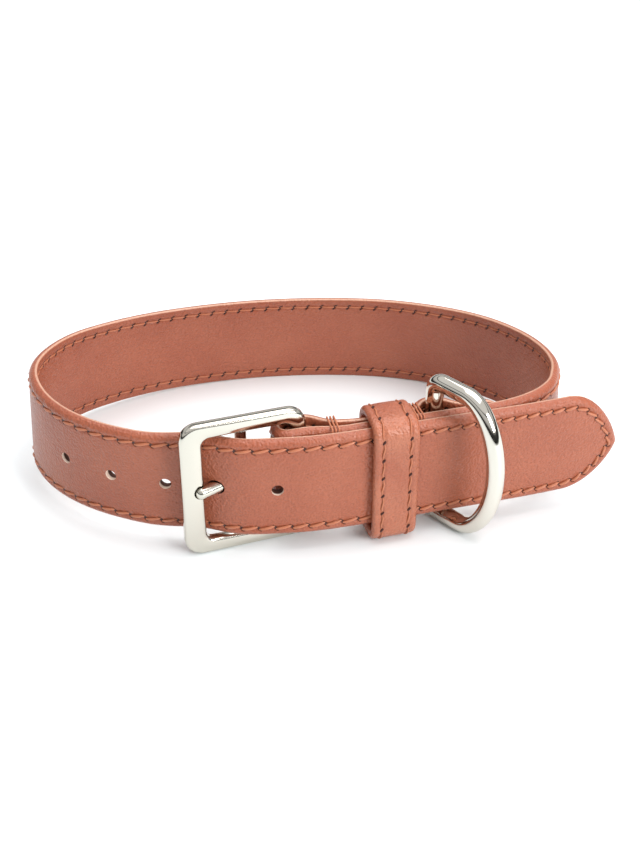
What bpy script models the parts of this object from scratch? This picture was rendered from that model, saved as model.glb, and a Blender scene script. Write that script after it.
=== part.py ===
"""Dog collar: a stitched leather strap closed through a rectangular centre bar buckle.

The strap is one long band. Its pointed free end lies outside at the front, runs left through the
buckle and round the neck, comes back behind the free end, folds round the buckle's end bar and
ends in a flap on the inside. A D ring hangs in that fold and a leather keeper holds the layers.
The collar stands on its edge: +Z is up, -Y is the front with the buckle, and +X is the wearer's
side that the free end points to. Lengths are in millimetres and are turned into metres once.
"""
import math

import bmesh
import bpy
import numpy as np
from mathutils import Matrix, Vector

MM = 0.001

# Strap
STRAP_WIDTH = 25.4
STRAP_THICKNESS = 2.2
STRAP_EDGE_ROUND = 0.95
LAYER_GAP = 0.4
GAP = 0.3
LOOP_WIDTH = 127.0
LOOP_DEPTH = 78.2
HOLE_DIAMETER = 2.7
HOLE_SPACING = 12.7
HOLES_LEFT_OF_PRONG = 3
HOLES_RIGHT_OF_PRONG = 1
TIP_LENGTH = 13.5
TIP_FALL = 1.5
TIP_POWER = 0.75
FLAP_CORNER = 5.0

# Buckle, set off a little in plan so that its front bar stands outside the strap
FRAME_LENGTH = 28.6
FRAME_THICKNESS = 2.8
FRAME_RAIL = 3.6
FRAME_CLEARANCE = 0.75
FRAME_CORNER = 4.2
FRAME_YAW = math.radians(19.0)
WINDOW_CORNER = 2.0
FRAME_EDGE_ROUND = 0.8
FRONT_BAR = 5.0
END_BAR = 3.5
CENTRE_BAR_DIAMETER = 2.8
CENTRE_BAR_DROP = 1.9
PRONG_DIAMETER = 2.9
PRONG_TIP_FROM_END = 2.9
PRONG_SEAT = 1.2
PRONG_EYE_WALL = 0.9
PRONG_EYE_HEIGHT = 3.4

# Ring in the fold
RING_WIRE = 4.1
RING_REACH = 18.9
RING_HEADROOM = 4.3
RING_CORNER = 2.4
RING_ARC = 9.8
RING_REST_LEAN = math.radians(27.0)

# Keeper band
KEEPER_WIDTH = 10.5
KEEPER_THICKNESS = 2.0
KEEPER_CLEARANCE = 0.35
KEEPER_HANG = 2.0
KEEPER_CORNER = 2.0
KEEPER_EDGE_ROUND = 0.85

# Places along the front, measured from the buckle's end bar
KEEPER_FROM_BAR = 19.4
RING_FROM_BAR = 31.0
FLAP_FROM_BAR = 47.6
TAIL_FROM_BAR = 75.0

# The strap's lower edge stands this high at the front, on the ring's wire, and 0 at the back
LIFT = RING_WIRE + GAP
FLAT_SHARE = 0.3

HALF = STRAP_THICKNESS / 2
PITCH = STRAP_THICKNESS + LAYER_GAP

# Centre of the buckle's end bar, as shares of the loop's width and depth
BAR_ACROSS = -0.0386
BAR_DEPTH = 0.088

# The tables count from the loop's middle and its front; the row's origin is under the middle of
# the whole collar, this far across and in depth from there
ORIGIN_ACROSS = -0.679
ORIGIN_DEPTH = 37.913

# Free end to the right of the end bar: shares of the loop's width and depth
TAIL_TABLE = [
    {"across": 0.654, "depth": 0.329},
    {"across": 0.514, "depth": 0.258},
    {"across": 0.371, "depth": 0.182},
    {"across": 0.254, "depth": 0.128},
    {"across": 0.143, "depth": 0.077},
    {"across": 0.056, "depth": 0.038},
]

# From the buckle's front bar round the neck: shares, the inward lean of the wall in degrees, and
# how far the lower edge drops, as a share of its lift over the hardware
LOOP_TABLE = [
    {"across": -0.283, "depth": 0.050, "lean": -1.5, "drop": 0.13},
    {"across": -0.343, "depth": 0.080, "lean": -2.0, "drop": 0.16},
    {"across": -0.402, "depth": 0.123, "lean": -1.5, "drop": 0.16},
    {"across": -0.463, "depth": 0.189, "lean": 0.0, "drop": 0.13},
    {"across": -0.511, "depth": 0.272, "lean": 2.0, "drop": 0.06},
    {"across": -0.539, "depth": 0.366, "lean": 3.5},
    {"across": -0.548, "depth": 0.467, "lean": 4.5},
    {"across": -0.535, "depth": 0.582, "lean": 5.5},
    {"across": -0.501, "depth": 0.685, "lean": 6.0},
    {"across": -0.445, "depth": 0.773, "lean": 6.5},
    {"across": -0.362, "depth": 0.860, "lean": 7.0},
    {"across": -0.257, "depth": 0.932, "lean": 7.5},
    {"across": -0.130, "depth": 0.982, "lean": 7.5},
    {"across": 0.000, "depth": 1.000, "lean": 7.5},
    {"across": 0.130, "depth": 0.987, "lean": 7.5},
    {"across": 0.244, "depth": 0.934, "lean": 7.5},
    {"across": 0.342, "depth": 0.840, "lean": 7.0},
    {"across": 0.412, "depth": 0.706, "lean": 6.0},
    {"across": 0.446, "depth": 0.564, "lean": 4.5},
    {"across": 0.449, "depth": 0.440, "lean": 3.0},
    {"across": 0.428, "depth": 0.335, "lean": 1.0},
]
# The strap slips in behind the free end at this distance from the end bar
TUCK_FROM_BAR = 48.0


def spline(points, step=0.1):
    """Natural cubic spline through points (any number of columns), evenly sampled by its length."""
    pts = np.array(points, float)
    knots = np.r_[0.0, np.cumsum(np.hypot(*np.diff(pts[:, :2], axis=0).T))]
    gaps = np.diff(knots)
    n = len(pts)
    system = np.eye(n)
    right = np.zeros_like(pts)
    for i in range(1, n - 1):
        system[i, i - 1:i + 2] = gaps[i - 1], 2 * (gaps[i - 1] + gaps[i]), gaps[i]
        right[i] = 6 * ((pts[i + 1] - pts[i]) / gaps[i] - (pts[i] - pts[i - 1]) / gaps[i - 1])
    bend = np.linalg.solve(system, right)
    fine = np.linspace(0, knots[-1], int(knots[-1] / step * 2))
    i = np.clip(np.searchsorted(knots, fine, side="right") - 1, 0, n - 2)
    h = gaps[i][:, None]
    a = (knots[i + 1] - fine)[:, None]
    b = (fine - knots[i])[:, None]
    out = (bend[i] * a ** 3 + bend[i + 1] * b ** 3) / (6 * h)
    out = out + (pts[i] / h - bend[i] * h / 6) * a + (pts[i + 1] / h - bend[i + 1] * h / 6) * b
    length = np.r_[0.0, np.cumsum(np.hypot(*np.diff(out[:, :2], axis=0).T))]
    even = np.linspace(0, length[-1], int(length[-1] / step))
    return np.stack([np.interp(even, length, out[:, k]) for k in range(out.shape[1])], 1)


def lengths(path):
    return np.r_[0.0, np.cumsum(np.hypot(*np.diff(path[:, :2], axis=0).T))]


def nearest(path, point):
    return int(np.argmin(np.hypot(*(path[:, :2] - point).T)))


class Frame2:
    """Plan frame with its first axis turned by yaw; the second axis points into the neck."""

    def __init__(self, origin, yaw):
        self.origin = np.array(origin, float)
        self.along = np.array([math.cos(yaw), math.sin(yaw)])
        self.inward = np.array([-math.sin(yaw), math.cos(yaw)])
        self.yaw = yaw

    def point(self, along, inward):
        return self.origin + along * self.along + inward * self.inward

    def matrix(self, height):
        place = Matrix.Rotation(self.yaw, 4, "Z")
        place.translation = Vector((self.origin[0] * MM, self.origin[1] * MM, height * MM))
        return place


# Buckle frame: its origin is the middle of the end bar, and it reaches to -along
buckle = Frame2((BAR_ACROSS * LOOP_WIDTH - ORIGIN_ACROSS, BAR_DEPTH * LOOP_DEPTH - ORIGIN_DEPTH),
                FRAME_YAW)
frame_left = END_BAR / 2 - FRAME_LENGTH
centre_bar_along = END_BAR / 2 - FRAME_LENGTH / 2
BAR_SEAT = FRAME_THICKNESS / 2 + GAP + HALF

# Room that the stiff leather leaves where it turns: at the end bar, outside that bend, over the
# prong's eye and behind the front bar, where it also hangs by a share of its lift
BEND_SLACK = 0.6
TAIL_SLACK = 0.7
EYE_SLACK = 0.95
UNDER_BAR_GAP = 0.66
BAR_DROP_SHARE = 0.08

# The flap hugs the ring's bar: half width of the swell as a share of the wire, and its squareness
SWELL_WIDTH = 1.07
SWELL_POWER = 2.6

TAIL_SLANT = math.radians(28.0)
EYE_RADIUS = CENTRE_BAR_DIAMETER / 2 + GAP + PRONG_EYE_WALL
front_bar_inner = frame_left + FRONT_BAR
window_mid = LIFT + STRAP_WIDTH / 2


def table_point(row):
    across = row["across"] * LOOP_WIDTH - ORIGIN_ACROSS
    depth = row["depth"] * LOOP_DEPTH - ORIGIN_DEPTH
    return [across, depth, row.get("lean", 0.0), row.get("drop", 0.0)]


def build_route():
    """Middle line of the strap's lower edge from the tip to the flap: x, y, lean and drop.

    Round the buckle it follows the bars: outside the end bar by two layers, outside the prong's
    eye, and inside the front bar's corner. The return layer keeps one pitch behind the free end,
    wraps the end bar, and the flap keeps two pitches, spreading over the ring's bar.
    """
    over_bar = buckle.point(0.0, -BAR_SEAT - PITCH - BEND_SLACK / 2 - TAIL_SLACK)
    bend_middle = -END_BAR / 2 - BEND_SLACK
    round_bend = BAR_SEAT + PITCH + BEND_SLACK + TAIL_SLACK
    past_bend = buckle.point(bend_middle - round_bend * math.sin(math.pi / 4),
                             -round_bend * math.cos(math.pi / 4))
    clear = EYE_RADIUS + EYE_SLACK + HALF
    over_eye = buckle.point(centre_bar_along - clear * math.sin(TAIL_SLANT),
                            CENTRE_BAR_DROP - clear * math.cos(TAIL_SLANT))
    under_bar = buckle.point(front_bar_inner, FRAME_THICKNESS / 2 + HALF + UNDER_BAR_GAP)
    front = [table_point(row) for row in TAIL_TABLE]
    front += [[*p, 0.0, 0.0] for p in (over_bar, past_bend, over_eye)]
    front += [[*under_bar, 0.0, BAR_DROP_SHARE]]
    front += [table_point(row) for row in LOOP_TABLE]
    line = spline(front)
    run = lengths(line)
    at_bar = run[nearest(line, over_bar)]
    tangent = np.gradient(line[:, :2], axis=0)
    tangent /= np.hypot(*tangent.T)[:, None]
    inward = np.stack([tangent[:, 1], -tangent[:, 0]], 1)

    def beside(from_bar, offset):
        k = int(np.interp(at_bar - from_bar, run, np.arange(len(run))))
        return line[k, :2] + inward[k] * offset

    ring_seat = HALF + GAP + RING_WIRE / 2
    ring_bar = beside(RING_FROM_BAR, PITCH + ring_seat)
    start = int(np.searchsorted(run, at_bar - TAIL_FROM_BAR))
    outer = line[start:]
    back = [beside(d, PITCH) for d in np.arange(TUCK_FROM_BAR, 4.0, -5.0)]
    bend = [buckle.point(0.0, -BAR_SEAT)]
    for turn in (45, 90, 135):
        a = math.radians(turn)
        bend.append(buckle.point(bend_middle - BAR_SEAT * math.sin(a), -BAR_SEAT * math.cos(a)))
    bend.append(buckle.point(0.0, BAR_SEAT + BEND_SLACK / 6))
    bend.append(buckle.point(END_BAR * 0.6, BAR_SEAT + BEND_SLACK / 6))
    spread = 2 * ring_seat - PITCH
    flap = []
    for d in np.arange(7.0, FLAP_FROM_BAR + 1.0, 2.0):
        near_bar = math.exp(-((d - 5.0) / 5.0) ** 2) * 1.2
        off_ring = abs(d - RING_FROM_BAR) / (RING_WIRE * SWELL_WIDTH)
        near_ring = math.exp(-(off_ring ** SWELL_POWER)) * spread
        flap.append(beside(d, 2 * PITCH + near_bar + near_ring))
    inner = [outer[-1][:2]] + back + bend + flap
    tail_end = [[*p, 0.0, 0.0] for p in inner[1:]]
    joined = np.vstack([outer[::25], np.array(tail_end)])
    route = spline(joined)
    return line, beside, ring_bar, route


front_line, beside, ring_bar, route = build_route()


def base_height(y, lean=0.0, drop=0.0):
    """Height of the lower edge: level over the hardware, then falling evenly to the back.

    A leaning wall stands on its rounded corner, which lifts its middle a little.
    """
    flat = FLAT_SHARE * LOOP_DEPTH
    back = LOOP_DEPTH - (y + ORIGIN_DEPTH)
    side = (HALF - STRAP_EDGE_ROUND) * math.sin(abs(lean))
    corner = side + STRAP_EDGE_ROUND * (1 - math.cos(lean))
    return LIFT * (np.clip(back / (LOOP_DEPTH - flat), 0.0, 1.0) - drop) + corner


def stations(path, turn_limit=math.radians(11.0), step_limit=5.5):
    """Indices along a dense path, close together where it bends."""
    heading = np.unwrap(np.arctan2(*np.diff(path[:, :2], axis=0).T[::-1]))
    run = lengths(path)
    keep = [0]
    for i in range(1, len(path) - 1):
        turned = abs(heading[i] - heading[keep[-1]])
        if turned >= turn_limit or run[i] - run[keep[-1]] >= step_limit:
            keep.append(i)
    return keep + [len(path) - 1]


def new_object(name, mesh, collection, material=None):
    obj = bpy.data.objects.new(name, mesh)
    collection.objects.link(obj)
    if material:
        mesh.materials.append(material)
    return obj


def make_cutter(obj):
    obj.hide_render = True
    obj.display_type = "WIRE"


def ribbon_mesh(name, lower, upper, closed=False):
    """Open surface between two rows of points, in metres."""
    mesh = bpy.data.meshes.new(name)
    bm = bmesh.new()
    low = [bm.verts.new(p) for p in lower]
    high = [bm.verts.new(p) for p in upper]
    count = len(low) if closed else len(low) - 1
    for i in range(count):
        j = (i + 1) % len(low)
        bm.faces.new((low[i], low[j], high[j], high[i]))
    bm.to_mesh(mesh)
    bm.free()
    return mesh


def add_wall(obj, thickness, edge_round, segments):
    wall = obj.modifiers.new("wall", "SOLIDIFY")
    wall.thickness = thickness * MM
    wall.offset = 0.0
    wall.use_even_offset = True
    edge = obj.modifiers.new("turned edges", "BEVEL")
    edge.width = edge_round * MM
    edge.segments = segments
    edge.limit_method = "ANGLE"
    edge.angle_limit = math.radians(50.0)
    edge.use_clamp_overlap = False


def add_boolean(obj, name, operand, operation):
    cut = obj.modifiers.new(name, "BOOLEAN")
    cut.operation = operation
    cut.object = operand
    cut.solver = "EXACT"


def cylinder_mesh(name, radius, depth, sides, matrix=Matrix()):
    mesh = bpy.data.meshes.new(name)
    bm = bmesh.new()
    bmesh.ops.create_cone(bm, cap_ends=True, segments=sides, radius1=radius * MM,
                          radius2=radius * MM, depth=depth * MM, matrix=matrix)
    bm.to_mesh(mesh)
    bm.free()
    return mesh


def curve_to_mesh(curve_obj, name, collection):
    """Mesh copy of a curve with its loose caps welded; the curve is removed."""
    bpy.context.view_layer.update()
    graph = bpy.context.evaluated_depsgraph_get()
    mesh = bpy.data.meshes.new_from_object(curve_obj.evaluated_get(graph))
    bm = bmesh.new()
    bm.from_mesh(mesh)
    bmesh.ops.remove_doubles(bm, verts=bm.verts, dist=0.00002)
    bmesh.ops.recalc_face_normals(bm, faces=bm.faces)
    bm.to_mesh(mesh)
    bm.free()
    mesh.name = name
    obj = bpy.data.objects.new(name, mesh)
    obj.matrix_world = curve_obj.matrix_world.copy()
    collection.objects.link(obj)
    bpy.data.objects.remove(curve_obj, do_unlink=True)
    return obj


def smooth(obj, angle=35.0):
    obj.data.shade_smooth()
    obj.data.set_sharp_from_angle(angle=math.radians(angle))


def principled(name, hex_colour, roughness, metallic):
    material = bpy.data.materials.new(name)
    material.use_nodes = True
    shader = material.node_tree.nodes["Principled BSDF"]
    parts = [int(hex_colour[i:i + 2], 16) / 255 for i in (0, 2, 4)]
    linear = [c / 12.92 if c <= 0.04045 else ((c + 0.055) / 1.055) ** 2.4 for c in parts]
    shader.inputs["Base Color"].default_value = (*linear, 1.0)
    shader.inputs["Roughness"].default_value = roughness
    shader.inputs["Metallic"].default_value = metallic
    return material


for old in list(bpy.data.objects):
    bpy.data.objects.remove(old, do_unlink=True)
parts = bpy.data.collections.new("dog_collar")
cutters = bpy.data.collections.new("cutters")
bpy.context.scene.collection.children.link(parts)
bpy.context.scene.collection.children.link(cutters)
leather = principled("tan_leather", "B0664F", 0.55, 0.0)
nickel = principled("polished_nickel", "D9D6D0", 0.12, 1.0)


def half_height(from_tip, from_flap_end):
    """Half of the strap's width: a rounded point at the tip, rounded corners at the flap."""
    full = STRAP_WIDTH / 2
    share = np.clip(from_tip / TIP_LENGTH, 0.0, 1.0)
    point = full * (1 - (1 - share) ** 2) ** TIP_POWER
    corner = np.clip(from_flap_end, 0.0, FLAP_CORNER)
    rounded = full - FLAP_CORNER + np.sqrt(FLAP_CORNER ** 2 - (FLAP_CORNER - corner) ** 2)
    return max(min(point, rounded), 1.0)


def build_strap():
    """The whole strap as one ribbon with rounded edges, five holes punched through the free end."""
    run = lengths(route)
    total = run[-1]
    keep = set(stations(route))
    for share in (0.0, 0.08, 0.17, 0.28, 0.42, 0.58, 0.77, 1.0):
        keep.add(int(np.searchsorted(run, share * TIP_LENGTH)))
    for share in (0.0, 0.25, 0.6, 1.0):
        keep.add(int(np.searchsorted(run, total - share * FLAP_CORNER)) - (share == 0.0))
    keep = sorted(k for k in keep if k < len(route))
    spaced = [keep[0]]
    for k in keep[1:]:
        if run[k] - run[spaced[-1]] > 0.12:
            spaced.append(k)
    tangent = np.gradient(route[:, :2], axis=0)
    tangent /= np.hypot(*tangent.T)[:, None]
    lower = []
    upper = []
    for k in spaced:
        x, y, lean, drop = route[k]
        lean = math.radians(lean)
        inward = np.array([tangent[k][1], -tangent[k][0]])
        up = np.array([*(inward * math.sin(lean)), math.cos(lean)])
        foot = np.array([x, y, float(base_height(y, lean, drop))])
        half = half_height(run[k], total - run[k])
        fall = TIP_FALL * (1 - min(run[k] / TIP_LENGTH, 1.0)) ** 2
        middle = foot + up * (STRAP_WIDTH / 2 - fall)
        lower.append((middle - up * half) * MM)
        upper.append((middle + up * half) * MM)
    obj = new_object("strap", ribbon_mesh("strap", lower, upper), parts, leather)
    add_wall(obj, STRAP_THICKNESS, STRAP_EDGE_ROUND, 2)
    return obj


def prong_axis():
    """Ends of the prong's middle line in plan: the tip over the front bar, and the centre bar."""
    tip_along = frame_left + PRONG_TIP_FROM_END
    tip_inward = -FRAME_THICKNESS / 2 + PRONG_SEAT - GAP - PRONG_DIAMETER / 2
    return buckle.point(tip_along, tip_inward), buckle.point(centre_bar_along, CENTRE_BAR_DROP)


def punch_holes(strap):
    """Round holes at an even spacing, and a slanting one where the prong comes through."""
    tip, pivot = prong_axis()
    run = lengths(front_line)
    shares = np.linspace(0, 1, 200)
    shank = pivot + shares[:, None] * (tip - pivot)
    gaps = [np.hypot(*(front_line[:, :2] - p).T).min() for p in shank]
    through = shank[int(np.argmin(gaps))]
    prong_at = run[nearest(front_line, through)]
    mesh = bpy.data.meshes.new("hole_cutters")
    bm = bmesh.new()
    for step in range(-HOLES_RIGHT_OF_PRONG, HOLES_LEFT_OF_PRONG + 1):
        k = int(np.interp(prong_at + step * HOLE_SPACING, run, np.arange(len(run))))
        if step == 0:
            direction = tip - pivot
            middle = through
            radius = PRONG_DIAMETER / 2 + GAP
            depth = STRAP_THICKNESS * 3.6
        else:
            heading = front_line[k + 5, :2] - front_line[k - 5, :2]
            direction = np.array([heading[1], -heading[0]])
            middle = front_line[k, :2]
            radius = HOLE_DIAMETER / 2
            depth = STRAP_THICKNESS * 1.7
        level = LIFT + STRAP_WIDTH / 2
        if step:
            level = float(base_height(middle[1], 0.0, front_line[k, 3])) + STRAP_WIDTH / 2
        aim = Vector((direction[0], direction[1], 0.0)).to_track_quat("Z", "Y").to_matrix().to_4x4()
        aim.translation = Vector((middle[0], middle[1], level)) * MM
        bmesh.ops.create_cone(bm, cap_ends=True, segments=16, radius1=radius * MM,
                              radius2=radius * MM, depth=depth * MM, matrix=aim)
    bm.to_mesh(mesh)
    bm.free()
    cutter = new_object("hole_cutters", mesh, cutters)
    make_cutter(cutter)
    add_boolean(strap, "punched holes", cutter, "DIFFERENCE")


def rounded_rectangle(x0, x1, y0, y1, radius, steps=5):
    points = []
    for cx, cy, start in ((x1 - radius, y1 - radius, 0), (x0 + radius, y1 - radius, 90),
                          (x0 + radius, y0 + radius, 180), (x1 - radius, y0 + radius, 270)):
        for i in range(steps + 1):
            a = math.radians(start + 90 * i / steps)
            points.append((cx + radius * math.cos(a), cy + radius * math.sin(a)))
    return points


def build_frame():
    """Flat cast frame with two windows, a set back centre bar and a notch for the prong."""
    half = STRAP_WIDTH / 2 + FRAME_CLEARANCE
    outer = half + FRAME_RAIL
    right = END_BAR / 2
    curve = bpy.data.curves.new("frame_outline", "CURVE")
    curve.dimensions = "2D"
    curve.fill_mode = "BOTH"
    curve.extrude = (FRAME_THICKNESS / 2 - FRAME_EDGE_ROUND) * MM
    curve.bevel_depth = FRAME_EDGE_ROUND * MM
    curve.bevel_resolution = 1
    curve.offset = -FRAME_EDGE_ROUND * MM
    window = rounded_rectangle(front_bar_inner, -END_BAR / 2, -half, half, WINDOW_CORNER)
    for outline in (rounded_rectangle(frame_left, right, -outer, outer, FRAME_CORNER), window):
        line = curve.splines.new("POLY")
        line.points.add(len(outline) - 1)
        line.use_cyclic_u = True
        for point, (x, y) in zip(line.points, outline):
            point.co = (x * MM, y * MM, 0.0, 1.0)
    drawn = bpy.data.objects.new("frame_outline", curve)
    parts.objects.link(drawn)
    drawn.matrix_world = buckle.matrix(window_mid) @ Matrix.Rotation(math.pi / 2, 4, "X")
    obj = curve_to_mesh(drawn, "buckle_frame", parts)
    obj.data.materials.clear()
    obj.data.materials.append(nickel)
    rod = bpy.data.curves.new("centre_bar", "CURVE")
    rod.dimensions = "3D"
    rod.bevel_depth = CENTRE_BAR_DIAMETER / 2 * MM
    rod.bevel_resolution = 2
    rod.use_fill_caps = True
    reach = half + FRAME_RAIL / 2
    path = [(reach, 0.0), (half + 0.2, CENTRE_BAR_DROP * 0.55), (half - 1.2, CENTRE_BAR_DROP)]
    path = [(-z, q) for z, q in path] + [(z, q) for z, q in reversed(path)]
    line = rod.splines.new("POLY")
    line.points.add(len(path) - 1)
    for point, (z, q) in zip(line.points, path):
        point.co = (centre_bar_along * MM, q * MM, z * MM, 1.0)
    rod_obj = bpy.data.objects.new("centre_bar_line", rod)
    cutters.objects.link(rod_obj)
    rod_obj.matrix_world = buckle.matrix(window_mid)
    bar = curve_to_mesh(rod_obj, "centre_bar", cutters)
    make_cutter(bar)
    add_boolean(obj, "centre bar", bar, "UNION")
    tip, pivot = prong_axis()
    direction = tip - pivot
    aim = Vector((direction[0], direction[1], 0.0)).to_track_quat("Z", "Y").to_matrix().to_4x4()
    direction /= np.hypot(*direction)
    centre = tip + direction * (GAP * 2 - FRONT_BAR * 0.7)
    aim.translation = Vector((*(centre * MM), window_mid * MM))
    notch = cylinder_mesh("prong_notch", PRONG_DIAMETER / 2 + GAP, FRONT_BAR * 1.4, 20, aim)
    cutter = new_object("prong_notch", notch, cutters)
    make_cutter(cutter)
    add_boolean(obj, "prong notch", cutter, "DIFFERENCE")
    return obj


def build_prong():
    """Round prong: a turned shank with a domed tip, joined to an eye round the centre bar."""
    tip, pivot = prong_axis()
    direction = tip - pivot
    reach = float(np.hypot(*direction))
    radius = PRONG_DIAMETER / 2
    heading = math.atan2(direction[1], direction[0])
    profile = [(0.0, reach)]
    for i in range(1, 5):
        a = math.radians(90 * i / 4)
        profile.append((radius * math.sin(a), reach - radius * 0.9 * (1 - math.cos(a))))
    foot = CENTRE_BAR_DIAMETER / 2 + GAP + PRONG_EYE_WALL * 0.5
    profile += [(radius, foot + 1.2), (radius * 0.94, foot), (0.0, foot)]
    mesh = bpy.data.meshes.new("prong_profile")
    edges = [(i, i + 1) for i in range(len(profile) - 1)]
    mesh.from_pydata([(r * MM, 0.0, z * MM) for r, z in profile], edges, [])
    shank = new_object("prong_shank", mesh, cutters)
    spin = shank.modifiers.new("turned", "SCREW")
    spin.steps = 16
    spin.render_steps = 16
    spin.use_merge_vertices = True
    spin.merge_threshold = 0.00005
    turn = Vector((math.cos(heading), math.sin(heading), 0.0)).to_track_quat("Z", "Y")
    shank.matrix_world = Matrix.Translation((*(pivot * MM), window_mid * MM)) @ turn.to_matrix().to_4x4()
    make_cutter(shank)
    eye = new_object("buckle_prong", cylinder_mesh("buckle_prong", EYE_RADIUS, PRONG_EYE_HEIGHT, 24),
                     parts, nickel)
    bore = new_object("prong_bore", cylinder_mesh("prong_bore", EYE_RADIUS - PRONG_EYE_WALL,
                                                  PRONG_EYE_HEIGHT * 2, 24), cutters)
    for obj in (eye, bore):
        obj.location = (*(pivot * MM), window_mid * MM)
    make_cutter(bore)
    add_boolean(eye, "shank", shank, "UNION")
    add_boolean(eye, "bore", bore, "DIFFERENCE")
    return eye


def build_ring():
    """Wire bent to a D: a straight bar in the fold, square shoulders and an oval bow."""
    half = (STRAP_WIDTH + GAP + RING_HEADROOM + RING_WIRE) / 2
    points = []
    for i in range(6):
        a = math.radians(90 * i / 5)
        points.append((RING_CORNER * (1 - math.cos(a)), half - RING_CORNER * (1 - math.sin(a))))
    start = RING_REACH - RING_ARC
    for i in range(13):
        a = math.radians(90 - 180 * i / 12)
        points.append((start + RING_ARC * math.cos(a), half * math.sin(a)))
    for i in range(6):
        a = math.radians(90 * i / 5)
        points.append((RING_CORNER * (1 - math.sin(a)), -half + RING_CORNER * (1 - math.cos(a))))
    curve = bpy.data.curves.new("d_ring", "CURVE")
    curve.dimensions = "3D"
    curve.bevel_depth = RING_WIRE / 2 * MM
    curve.bevel_resolution = 2
    line = curve.splines.new("POLY")
    line.points.add(len(points) - 1)
    line.use_cyclic_u = True
    for point, (along, height) in zip(line.points, points):
        point.co = (along * MM, 0.0, height * MM, 1.0)
    drawn = bpy.data.objects.new("ring_line", curve)
    parts.objects.link(drawn)
    outward = beside(RING_FROM_BAR, 0.0) - beside(RING_FROM_BAR, 1.0)
    facing = math.atan2(outward[1], outward[0]) + RING_REST_LEAN
    place = Matrix.Rotation(facing, 4, "Z")
    place.translation = Vector((*(ring_bar * MM), (RING_WIRE / 2 + half) * MM))
    drawn.matrix_world = place
    obj = curve_to_mesh(drawn, "d_ring", parts)
    obj.data.materials.clear()
    obj.data.materials.append(nickel)
    smooth(obj)
    return obj


def build_keeper():
    """Leather band round the free end and the two layers behind it, hanging a little low."""
    middle = beside(KEEPER_FROM_BAR, 0.0)
    inward = beside(KEEPER_FROM_BAR, 1.0) - middle
    along = np.array([-inward[1], inward[0]]) * -1.0
    half_band = KEEPER_WIDTH / 2 + 0.5
    local = route[:, :2] - middle
    ahead = local @ along
    depth = local @ inward
    near = (np.abs(ahead) < half_band) & (np.abs(depth) < 6 * STRAP_THICKNESS)
    deepest = depth[near].max() + HALF
    nearest_face = depth[near].min() - HALF
    wall = KEEPER_THICKNESS / 2 + KEEPER_CLEARANCE
    bottom = LIFT - KEEPER_HANG - KEEPER_THICKNESS / 2
    top = LIFT + STRAP_WIDTH + wall
    radius = KEEPER_CORNER + KEEPER_THICKNESS / 2
    outline = rounded_rectangle(nearest_face - wall, deepest + wall, bottom, top, radius, 4)
    rows = []
    for side in (-1, 1):
        row = []
        for q, z in outline:
            plan = middle + inward * q + along * side * KEEPER_WIDTH / 2
            row.append(Vector((plan[0], plan[1], z)) * MM)
        rows.append(row)
    obj = new_object("keeper", ribbon_mesh("keeper", rows[0], rows[1], closed=True), parts, leather)
    add_wall(obj, KEEPER_THICKNESS, KEEPER_EDGE_ROUND, 2)
    return obj


strap = build_strap()
punch_holes(strap)
smooth(strap)
frame = build_frame()
smooth(frame)
prong = build_prong()
smooth(prong)
ring = build_ring()
keeper = build_keeper()
smooth(keeper)
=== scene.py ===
"""Dog collar of stitched tan leather with a nickel buckle and D ring, dressed over its solid model.

The sections follow the collar as it is made: camera and light, the strap with its holes and
stitching, the tacks that hold the fold, the keeper, the buckle with its bar and prong, the ring.
Lengths are in millimetres and become metres where a mesh is made. +Z is up along the strap's
width, -Y is the front with the buckle, and the free end points to +X.
"""
import math

import bmesh
import bpy
import numpy as np
from mathutils import Matrix, Vector


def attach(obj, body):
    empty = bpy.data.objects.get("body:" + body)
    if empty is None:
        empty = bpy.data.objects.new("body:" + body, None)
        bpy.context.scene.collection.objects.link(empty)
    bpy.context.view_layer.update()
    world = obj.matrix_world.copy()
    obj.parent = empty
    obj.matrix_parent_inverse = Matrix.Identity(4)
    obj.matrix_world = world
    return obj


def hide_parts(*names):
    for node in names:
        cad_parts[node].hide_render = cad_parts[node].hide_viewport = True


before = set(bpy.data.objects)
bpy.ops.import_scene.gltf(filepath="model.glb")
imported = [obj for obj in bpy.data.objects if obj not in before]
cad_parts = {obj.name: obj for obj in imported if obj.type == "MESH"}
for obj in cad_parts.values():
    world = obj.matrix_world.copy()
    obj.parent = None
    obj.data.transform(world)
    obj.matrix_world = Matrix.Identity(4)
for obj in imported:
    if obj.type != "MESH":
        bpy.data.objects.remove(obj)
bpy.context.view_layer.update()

# Camera, floor and light
# The collar stands on a white table and is seen from the front, from about 33 degrees above, in
# even studio light: a large soft box overhead, a smaller one at the front right, and a bright
# room with a dark foot to its walls and one dark strip below the ceiling.
# ROOM_BANDS holds the room's tones as (height of the direction, grey).
MM = 0.001
PHOTO_WIDTH = 640
FOCAL_PIXELS = 1300
CAMERA_PLACE = (0.679, -270.113, 184.0)
CAMERA_PITCH = 33.0


def linear(hex_colour):
    """Linear colour from sRGB hex: c / 12.92 up to 0.04045, else ((c + 0.055) / 1.055) ** 2.4."""
    share = np.array([int(hex_colour[i:i + 2], 16) for i in (0, 2, 4)]) / 255
    low = share / 12.92
    high = ((share + 0.055) / 1.055) ** 2.4
    return (*np.where(share <= 0.04045, low, high).tolist(), 1.0)


def new_material(name):
    """Material with its node tree and its shader node."""
    material = bpy.data.materials.new(name)
    material.use_nodes = True
    return material, material.node_tree, material.node_tree.nodes["Principled BSDF"]


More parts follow.
